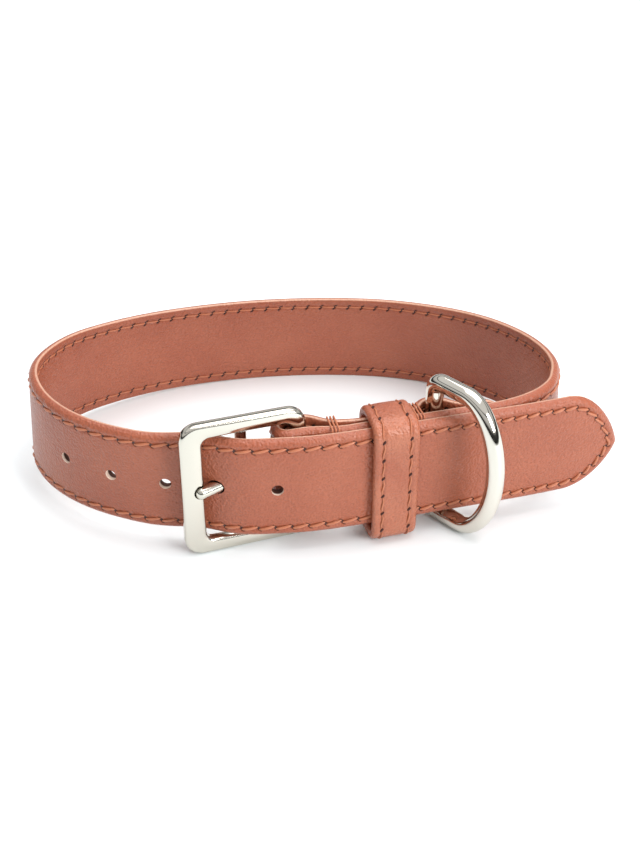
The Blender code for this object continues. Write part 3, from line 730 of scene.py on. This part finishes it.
add_row_maps(strap_mesh, loop_s, loop_h, loop_d, lining)
strap_mesh.materials.append(tan_calf)
strap_mesh = punch(face_out(strap_mesh), hole_punches(), cut_hide_with_painted_shade())
place_piece("strap_leather", strap_mesh, tan_calf, "tan_leather", "collar", "strap")

# Stitching
# Bonded thread a shade lighter than the leather, lock stitched through both plies: on the outside
# each stitch is a raised bar rising to the right between two slits, on the lining a flat dash.
THREAD = 0.66
LINING_THREAD = 0.4


def stitch_tubes(name, count, centre, sideways, off, thick):
    """One mesh of many short closed tubes.

    Arrays run stitch, ring: centre plus thick / 2 * (cos, sin) along sideways and off.
    """
    turn = np.linspace(0.0, 2 * math.pi, 8, endpoint=False)
    ring = np.cos(turn)[:, None] * sideways[:, :, None] + np.sin(turn)[:, None] * off[:, :, None]
    points = centre[:, :, None] + ring * (thick / 2)[..., None, None] * MM
    rings, sides = points.shape[1:3]
    index = np.arange(count * rings * sides).reshape(count, rings, sides)
    index = np.concatenate([index, index[:, :, :1]], 2)
    corners = [index[:, :-1, :-1], index[:, :-1, 1:], index[:, 1:, 1:], index[:, 1:, :-1]]
    faces = np.stack(corners, -1).reshape(-1, 4).tolist()
    faces += index[:, 0, :-1][:, ::-1].tolist() + index[:, -1, :-1].tolist()
    mesh = bpy.data.meshes.new(name)
    mesh.from_pydata(points.reshape(-1, 3).tolist(), [], faces)
    mesh.update()
    return face_out(mesh)


def unit(vectors):
    return vectors / np.linalg.norm(vectors, axis=-1, keepdims=True)


def sewn_row(name, face, side, slant, lift, thick):
    """Stitches along the strap's row: stitch k runs where the count goes from k to k + 1.

    Its middle line is the row plus slant * (t - 1/2) sideways and lift * sin(pi t) ** 0.6 off
    the leather; it is thinner at both needle slits.
    """
    last = int(row_count[-1])
    t = np.linspace(0.04, 0.96, 9)[None]
    at = np.arange(last)[:, None] + t
    s = np.interp(at, row_count, row_s)
    h = np.interp(at, row_count, row_h)
    ds = np.interp(at + 0.05, row_count, row_s) - np.interp(at - 0.05, row_count, row_s)
    dh = np.interp(at + 0.05, row_count, row_h) - np.interp(at - 0.05, row_count, row_h)
    size = np.hypot(ds, dh)
    shift = slant * (t - 0.5)
    s = s - dh / size * shift
    h = h + ds / size * shift
    w = face + side * (lift * np.sin(math.pi * t) ** 0.6 - 0.1) + 0 * s
    centre = strap_point(s, h - tip_fall(s), w)
    off = unit(strap_point(s, h - tip_fall(s), w + side * 0.1) - centre)
    ahead = unit(np.gradient(centre, axis=1))
    swell = thick * (0.5 + 0.5 * np.sin(math.pi * t) ** 0.5) + 0 * s
    return stitch_tubes(name, last, centre, np.cross(ahead, off), off, swell)


def bonded_thread(name, hex_colour, roughness):
    """Bonded polyester thread: close fine twist that breaks its soft gloss."""
    material, tree, shader = new_material(name)
    shader.inputs["Base Color"].default_value = linear(hex_colour)
    shader.inputs["Roughness"].default_value = roughness
    place = add_node(tree, "TexCoord").outputs["Object"]
    twist = add_node(tree, "TexNoise", {"Vector": place, "Scale": 1 / (0.25 * MM)})
    bump = add_node(tree, "Bump", {"Height": twist.outputs["Fac"], "Strength": 0.35,
                                   "Distance": 0.05 * MM})
    tree.links.new(bump.outputs["Normal"], shader.inputs["Normal"])
    return material


row_thread = bonded_thread("bonded_thread", "B87050", 0.42)
row_depth = np.full(1, ROW_FROM_EDGE)
outer_stitches = sewn_row("outer_stitches", outer_face(row_depth), -1.0, -0.85, 0.38, THREAD)
place_piece("outer_stitches", outer_stitches, row_thread, "tan_leather", "collar")
inner_stitches = sewn_row("inner_stitches", inner_face(row_depth), 1.0, -0.15, 0.22, LINING_THREAD)
place_piece("inner_stitches", inner_stitches, row_thread, "tan_leather", "collar")

# Tacks
# Beside the keeper the return layer and the flap are whipped together: three turns of thread
# pass through both layers at the row and lie over their edges, at the top and at the bottom.
TACKS_FROM_BAR = (6.8, 26.4)
TACK_TURNS = (-0.75, 0.0, 0.75)
TACK_THREAD = 0.42


def tack_path(from_bar):
    """Staple over both layers' edges: a rounded bridge between two legs, top and bottom."""
    near = PITCH - HALF - TACK_THREAD * 0.3
    far = float(flap_offset(from_bar)) + HALF + TACK_THREAD * 0.3
    corner = 0.5
    turn = np.linspace(0.0, math.pi / 2, 6)
    rise = STRAP_WIDTH / 2 + TACK_THREAD * 0.3
    leg = STRAP_WIDTH / 2 - ROW_FROM_EDGE
    q = np.r_[near + 0.5, near, near, near + corner * (1 - np.cos(turn)),
              far - corner * (1 - np.sin(turn)), far, far, far - 0.5]
    z = np.r_[leg, leg + 0.1, rise - corner - 0.4, rise - corner * (1 - np.sin(turn)),
              rise - corner * (1 - np.cos(turn)), rise - corner - 0.4, leg + 0.1, leg]
    return q, z


def tacks():
    """All the staples as one mesh of tubes; each stands in the plane across the strap."""
    centres = []
    for from_bar in TACKS_FROM_BAR:
        foot = beside(from_bar, 0.0)
        inward = beside(from_bar, 10.0) - foot
        inward /= np.hypot(*inward)
        along = np.array([inward[1], -inward[0]])
        q, z = tack_path(from_bar)
        for turn in TACK_TURNS:
            for side in (-1.0, 1.0):
                slope = 0.3 * np.linspace(-0.5, 0.5, len(q))
                plan = foot + np.outer(q, inward) + np.outer(turn + slope, along)
                centres.append(np.c_[plan, LIFT + STRAP_WIDTH / 2 + side * z] * MM)
    centre = np.array(centres)
    ahead = unit(np.gradient(centre, axis=1))
    across = unit(np.cross(ahead, np.array([0.31, 0.95, 0.05])[None, None]))
    off = np.cross(ahead, across)
    thick = np.full(centre.shape[:2], TACK_THREAD)
    return stitch_tubes("fold_tacks", len(centre), centre, across, off, thick)


place_piece("fold_tacks", tacks(), row_thread, "tan_leather", "collar")

# Keeper
# A folded band of the same calf, closed behind, that holds the free end against the two layers.
# It is sewn along both edges with long stitches and hangs a little low. Short near-black
# matt tubes at the needle holes are painted shade of the holes.
KEEPER_FROM_BAR = 19.4
KEEPER_WIDTH = 10.5
KEEPER_THICKNESS = 2.0
KEEPER_CLEARANCE = 0.35
KEEPER_HANG = 2.0
KEEPER_CORNER = 2.0
KEEPER_BEAD = 0.95
KEEPER_ROW = 3.15
KEEPER_PITCH = 4.6
KEEPER_SWAY = 0.18
KEEPER_GROOVE = 0.2
KEEPER_CROWN = 0.08
KEEPER_NICK = 0.12
KEEPER_THREAD = 0.38
HOLE_SHADE_THICK = 0.6


def rounded_outline(x0, x1, y0, y1, radius, arc_steps, sides):
    """Rounded rectangle, anticlockwise from the right: points, outward normals.

    Each corner is centre + radius * (cos, sin); sides gives the shares of the top, left, bottom
    and right straights at which points lie.
    """
    middles = ((x1 - radius, y1 - radius), (x0 + radius, y1 - radius),
               (x0 + radius, y0 + radius), (x1 - radius, y0 + radius))
    points = []
    normals = []
    for corner, middle in enumerate(middles):
        angle = np.linspace(0.0, math.pi / 2, arc_steps + 1) + corner * math.pi / 2
        normal = np.stack([np.cos(angle), np.sin(angle)], 1)
        start = np.array(middle) + radius * normal[-1]
        finish = np.array(middles[(corner + 1) % 4]) + radius * normal[-1]
        points += [np.array(middle) + radius * normal, start + np.outer(sides[corner], finish - start)]
        normals += [normal, np.tile(normal[-1], (len(sides[corner]), 1))]
    return np.vstack(points), np.vstack(normals)


def keeper_frame():
    """Plan origin and axes of the keeper, and the box of its middle line: depth and height."""
    middle = beside(KEEPER_FROM_BAR, 0.0)
    inward = beside(KEEPER_FROM_BAR, 1.0) - middle
    along = np.array([inward[1], -inward[0]])
    local = route[:, :2] - middle
    depth = local @ inward
    near = (np.abs(local @ along) < KEEPER_WIDTH / 2 + 0.5) & (np.abs(depth) < 6 * STRAP_THICKNESS)
    wall = KEEPER_THICKNESS / 2 + KEEPER_CLEARANCE
    front = depth[near].min() - HALF - wall
    back = depth[near].max() + HALF + wall
    bottom = LIFT - KEEPER_HANG - KEEPER_THICKNESS / 2
    return middle, inward, along, (front, back, bottom, LIFT + STRAP_WIDTH + wall)


keeper_middle, keeper_inward, keeper_along, keeper_box = keeper_frame()
even = np.linspace(0, 1, 22)[1:-1]
short = np.linspace(0, 1, 8)[1:-1]
keeper_line, keeper_normal = rounded_outline(*keeper_box, KEEPER_CORNER + KEEPER_THICKNESS / 2, 14,
                                             (short, even, short, even))


def keeper_point(line, normal, x, w):
    """Point in metres: outline + normal * w in the plane across the strap, x along the strap."""
    flat = line + normal * w[..., None]
    plan = keeper_middle + flat[..., :1] * keeper_inward + x[..., None] * keeper_along
    return np.concatenate([plan, flat[..., 1:]], -1) * MM


def keeper_section():
    """Closed section: outer face with grooves at the rows, turned edges, plain inner face.

    The ends are half rounds with a nick where the two plies of the fold meet.
    """
    half = KEEPER_WIDTH / 2
    across = np.linspace(-half + KEEPER_BEAD, half - KEEPER_BEAD, 41)
    groove = KEEPER_GROOVE * np.exp(-((np.abs(across) - KEEPER_ROW) / 0.45) ** 2)
    outer = KEEPER_THICKNESS / 2 + KEEPER_CROWN * np.cos(across / half * math.pi / 2) - groove
    turn = np.linspace(math.pi / 2, -math.pi / 2, 17)[1:-1]
    nick = KEEPER_NICK * np.exp(-(turn / 0.16) ** 2)
    end_x = half - KEEPER_BEAD + (KEEPER_BEAD - nick) * np.cos(turn)
    end_w = KEEPER_THICKNESS / 2 * np.sin(turn)
    plain = np.full(9, -KEEPER_THICKNESS / 2)
    back = np.linspace(half - KEEPER_BEAD, -half + KEEPER_BEAD, 9)
    return np.r_[across, end_x, back, -end_x], np.r_[outer, end_w, plain, end_w[::-1]]


section_x, section_w = keeper_section()
all_round = np.zeros((len(keeper_line), 1))
keeper_points = keeper_point(keeper_line[:, None], keeper_normal[:, None], section_x + all_round,
                             section_w + all_round)
# Painted light: the keeper takes a lighter copy of the strap's calf for the front box's highlight on it.
lit_keeper_calf = calf("keeper_calf_painted_highlight", CALF_DARK, "B16B4F", 0.33, False)
keeper_mesh = surface("keeper_leather", keeper_points, close_rows=True, close_columns=True)
place_piece("keeper_leather", face_out(keeper_mesh), lit_keeper_calf, "tan_leather", "collar", "keeper",
            crease=60.0)


def keeper_stitches(name, first, last, thick, lift):
    """Stitches round the keeper in two rows, each from first to last of its pitch."""
    closed = np.vstack([keeper_line, keeper_line[:1]])
    run = np.r_[0.0, np.cumsum(np.hypot(*np.diff(closed, axis=0).T))]
    count = int(round(run[-1] / KEEPER_PITCH))
    t = np.linspace(first, last, 13)[None]
    at = ((np.arange(count)[:, None] + t) * run[-1] / count) % run[-1]
    line = np.stack([np.interp(at, run, closed[:, k]) for k in (0, 1)], -1)
    turned = np.vstack([keeper_normal, keeper_normal[:1]])
    normal = unit(np.stack([np.interp(at, run, turned[:, k]) for k in (0, 1)], -1))
    share = (t - first) / (last - first)
    rise = lift * np.sin(math.pi * share) ** 0.6
    w = KEEPER_THICKNESS / 2 - 0.16 + rise + 0 * at
    meshes = []
    for side in (-1.0, 1.0):
        row = np.full(at.shape, side * KEEPER_ROW)
        centre = keeper_point(line, normal, row + KEEPER_SWAY * np.sin(2 * math.pi * share), w)
        off = unit(keeper_point(line, normal, row, w + 1.0) - keeper_point(line, normal, row, w))
        ahead = unit(np.gradient(centre, axis=1))
        swell = thick * (0.45 + 0.55 * np.sin(math.pi * share) ** 0.5) + 0 * at
        meshes.append(stitch_tubes(name, count, centre, unit(np.cross(ahead, off)), off, swell))
    return face_out(*meshes)


# Painted shade: near-black matt tubes sit in the keeper's needle holes.
hole_shade_material = bonded_thread("needle_hole_painted_shade", "3A150C", 0.8)
keeper_dashes = keeper_stitches("keeper_stitches", 0.06, 0.94, KEEPER_THREAD, 0.24)
place_piece("keeper_stitches", keeper_dashes, row_thread, "tan_leather", "collar")
keeper_hole_shade = keeper_stitches("keeper_hole_shade", -0.09, 0.09, HOLE_SHADE_THICK, 0.04)
place_piece("keeper_hole_shade", keeper_hole_shade, hole_shade_material, "tan_leather", "collar")

# Buckle
# A flat cast frame, polished and nickel plated, with softly rounded edges, a round seat for the
# prong in its front bar, and a set back centre bar that carries the prong.
FRAME_RAIL = 3.6
FRAME_CLEARANCE = 0.75
FRAME_CORNER = 4.2
WINDOW_CORNER = 2.0
FRAME_ROUND = 1.0
FRAME_CROWN = 0.12
window_mid = LIFT + STRAP_WIDTH / 2
window_half = STRAP_WIDTH / 2 + FRAME_CLEARANCE


def buckle_point(along, inward, height):
    """Point in metres from the frame's own axes: along it, into the neck, above its middle."""
    plan = bar_place + along[..., None] * bar_along + inward[..., None] * bar_inward
    return np.concatenate([plan, height[..., None] + window_mid], -1) * MM


def frame_section():
    """Closed section of a bar as share of its width, mm added, and thickness.

    Quarter rounds of FRAME_ROUND at the four corners, faces crowned by FRAME_CROWN.
    """
    turn = np.linspace(0.0, math.pi / 2, 9)
    inset = FRAME_ROUND * (1 - np.sin(turn))
    drop = FRAME_THICKNESS / 2 - FRAME_ROUND * (1 - np.cos(turn))
    face = np.linspace(0, 1, 30)[1:-1]
    face_mm = FRAME_ROUND * (1 - 2 * face)
    level = FRAME_THICKNESS / 2 + FRAME_CROWN * np.sin(math.pi * face)
    share = np.r_[np.zeros(9), face, np.ones(9)]
    extra = np.r_[inset[::-1], face_mm, -inset]
    thick = np.r_[drop[::-1], level, drop]
    return np.r_[share, share[::-1]], np.r_[extra, extra[::-1]], np.r_[-thick, thick[::-1]]


def seat_for_prong(along, inward, height):
    """Front face sunk to the prong's clearance: floor = axis + sqrt(r^2 - z^2), round at its end."""
    tip_along = frame_left + PRONG_TIP_FROM_END
    tip_inward = -FRAME_THICKNESS / 2 + PRONG_SEAT - GAP - PRONG_DIAMETER / 2
    slope = (CENTRE_BAR_DROP - tip_inward) / (centre_bar_along - tip_along)
    radius = PRONG_DIAMETER / 2 + GAP
    inside = np.sqrt(np.clip(radius ** 2 - height ** 2, 0.0, None))
    floor_level = tip_inward + slope * (along - tip_along) + inside
    end = tip_along - GAP + radius - inside
    sunk = (np.abs(height) < radius) & (along > end) & (along < front_bar_inner + 1.0)
    return np.where(sunk & (inward < floor_level), floor_level, inward)


def frame_mesh():
    """Section carried round the frame between its window's outline and its outer outline."""
    dense = np.r_[np.linspace(0, 0.4, 9)[1:], np.linspace(0.4, 0.6, 49)[1:-1], np.linspace(0.6, 1, 9)[:-1]]
    plain = np.linspace(0, 1, 12)[1:-1]
    sides = (plain, dense, plain, plain)
    outer_half = window_half + FRAME_RAIL
    inner, _ = rounded_outline(front_bar_inner, -END_BAR / 2, -window_half, window_half,
                               WINDOW_CORNER, 14, sides)
    outer, _ = rounded_outline(frame_left, END_BAR / 2, -outer_half, outer_half, FRAME_CORNER, 14, sides)
    share, extra, thick = frame_section()
    span = outer - inner
    width = np.hypot(*span.T)[:, None]
    mix = share[None] + extra[None] / width
    flat = inner[:, None] + span[:, None] * mix[..., None]
    inward = seat_for_prong(flat[..., 0], thick[None] + 0 * mix, flat[..., 1])
    return surface("buckle_frame_nickel", buckle_point(flat[..., 0], inward, flat[..., 1]),
                   close_rows=True, close_columns=True)


def tube(name, path, radius, sides=28, closed=False):
    """Round section carried along a path: path + radius * (cos, sin) in the plane across it."""
    if closed:
        ahead = unit(np.roll(path, -1, axis=0) - np.roll(path, 1, axis=0))
    else:
        ahead = unit(np.gradient(path, axis=0))
    plane = np.cross(path[len(path) // 3] - path[0], path[2 * len(path) // 3] - path[0])
    side = unit(np.cross(ahead, plane / np.linalg.norm(plane)))
    up = np.cross(side, ahead)
    turn = np.linspace(0.0, 2 * math.pi, sides, endpoint=False)[None, :, None]
    ring = np.cos(turn) * side[:, None] + np.sin(turn) * up[:, None]
    points = path[:, None] + radius * MM * ring
    return surface(name, points, close_rows=closed, close_columns=True, caps=not closed)


def centre_bar():
    """Rod between the rails, dipped by CENTRE_BAR_DROP: drop * sin(pi t / 2) over its bent ends."""
    reach = window_half + FRAME_RAIL / 2
    z = np.linspace(-reach, reach, 61)
    bend = np.clip((reach - np.abs(z)) / (FRAME_RAIL / 2 + 1.2), 0.0, 1.0)
    inward = CENTRE_BAR_DROP * np.sin(math.pi / 2 * bend)
    path = buckle_point(np.full(len(z), centre_bar_along), inward, z)
    return tube("centre_bar", path, CENTRE_BAR_DIAMETER / 2)


def polished_nickel(name, tint, roughness):
    """Nickel plate over polished zinc: warm white metal, mirror smooth with faint buffing swirls.

    The eye gets clean reflections of the room, softened a little by handling.
    """
    material, tree, shader = new_material(name)
    shader.inputs["Base Color"].default_value = linear(tint)
    shader.inputs["Metallic"].default_value = 1.0
    place = add_node(tree, "TexCoord").outputs["Object"]
    haze = add_node(tree, "TexNoise", {"Vector": place, "Scale": 1 / (5 * MM), "Detail": 4.0})
    gloss = add_node(tree, "MapRange", {"Value": haze.outputs["Fac"], "To Min": roughness * 0.6,
                                        "To Max": roughness * 1.4})
    swirl = add_node(tree, "TexNoise", {"Vector": place, "Scale": 1 / (2.5 * MM), "Detail": 2.0})
    bump = add_node(tree, "Bump", {"Height": swirl.outputs["Fac"], "Strength": 0.08,
                                   "Distance": 0.05 * MM})
    tree.links.new(gloss.outputs["Result"], shader.inputs["Roughness"])
    tree.links.new(bump.outputs["Normal"], shader.inputs["Normal"])
    return material


nickel = polished_nickel("polished_nickel_plate", "CFCABF", 0.1)
place_piece("buckle_frame_nickel", face_out(frame_mesh(), centre_bar()), nickel, "polished_nickel",
            "collar", "buckle_frame")

# Prong
# Round nickel plated wire: one end is rolled into an eye round the centre bar, the other is
# rounded off and lies in the seat of the front bar.
PRONG_EYE_HEIGHT = 3.4


def prong_meshes():
    """Turned shank: radius * sin at the domed tip; the eye is a rounded strip turned round z."""
    tip, pivot = prong_axis()
    reach = float(np.hypot(*(tip - pivot)))
    heading = (tip - pivot) / reach
    radius = PRONG_DIAMETER / 2
    dome = np.linspace(0.06, math.pi / 2, 12)
    dome_r = radius * np.sin(dome)
    dome_at = reach - radius * 0.9 * (1 - np.cos(dome))
    foot = CENTRE_BAR_DIAMETER / 2 + GAP + PRONG_EYE_WALL * 0.5
    at = np.r_[dome_at, np.linspace(dome_at[-1] - 0.4, foot, 20)]
    size = np.r_[dome_r, np.full(20, radius)]
    plan = pivot + np.outer(at, heading)
    path = np.c_[plan, np.full(len(at), window_mid)] * MM
    turn = np.linspace(0.0, 2 * math.pi, 28, endpoint=False)
    across = np.array([-heading[1], heading[0], 0.0])
    ring = np.cos(turn)[:, None] * across + np.sin(turn)[:, None] * np.array([0.0, 0.0, 1.0])
    shank = surface("prong_shank", path[:, None] + size[:, None, None] * ring[None] * MM,
                    close_columns=True, caps=True)
    corner = 0.3
    half = PRONG_EYE_HEIGHT / 2
    bore = EYE_RADIUS - PRONG_EYE_WALL
    strip, _ = rounded_outline(bore, EYE_RADIUS, -half, half, corner, 5, (np.array([0.5]),) * 4)
    spin = np.linspace(0.0, 2 * math.pi, 56, endpoint=False)[:, None]
    x = pivot[0] + strip[:, 0] * np.cos(spin)
    y = pivot[1] + strip[:, 0] * np.sin(spin)
    z = window_mid + strip[:, 1] + 0 * spin
    eye = surface("prong_eye", np.stack([x, y, z], -1) * MM, close_rows=True, close_columns=True)
    return shank, eye


place_piece("buckle_prong_nickel", face_out(*prong_meshes()), nickel, "polished_nickel", "collar",
            "buckle_prong")

# D ring
# Heavy round wire bent to a D and polished before plating: a straight bar held in the fold,
# square shoulders, and an oval bow that the lead clips to. It swings round its bar.
RING_REACH = 18.9
RING_HEADROOM = 4.3
RING_CORNER = 2.4
RING_ARC = 9.8
RING_REST_LEAN = math.radians(27.0)


def ring_path():
    """Closed middle line: quarter circles at the shoulders, a half ellipse for the bow."""
    half = (STRAP_WIDTH + GAP + RING_HEADROOM + RING_WIRE) / 2
    quarter = np.linspace(0.0, math.pi / 2, 13)
    bow = np.linspace(math.pi / 2, -math.pi / 2, 81)
    start = RING_REACH - RING_ARC
    straight = np.linspace(RING_CORNER, start, 12)[1:-1]
    bar = np.linspace(-half + RING_CORNER, half - RING_CORNER, 40)[1:-1]
    along = np.r_[RING_CORNER * (1 - np.cos(quarter)), straight, start + RING_ARC * np.cos(bow),
                  straight[::-1], RING_CORNER * (1 - np.sin(quarter)), 0 * bar]
    height = np.r_[half - RING_CORNER * (1 - np.sin(quarter)), 0 * straight + half, half * np.sin(bow),
                   0 * straight - half, -half + RING_CORNER * (1 - np.cos(quarter)), bar]
    outward = beside(RING_FROM_BAR, 0.0) - beside(RING_FROM_BAR, 1.0)
    facing = math.atan2(outward[1], outward[0]) + RING_REST_LEAN
    plan = ring_bar + np.outer(along, [math.cos(facing), math.sin(facing)])
    return np.c_[plan, height + RING_WIRE / 2 + half] * MM


ring_nickel = polished_nickel("polished_nickel_wire", "D2CDC3", 0.07)
ring_mesh = tube("d_ring_nickel", ring_path(), RING_WIRE / 2, sides=36, closed=True)
place_piece("d_ring_nickel", face_out(ring_mesh), ring_nickel, "polished_nickel", "ring", "d_ring")
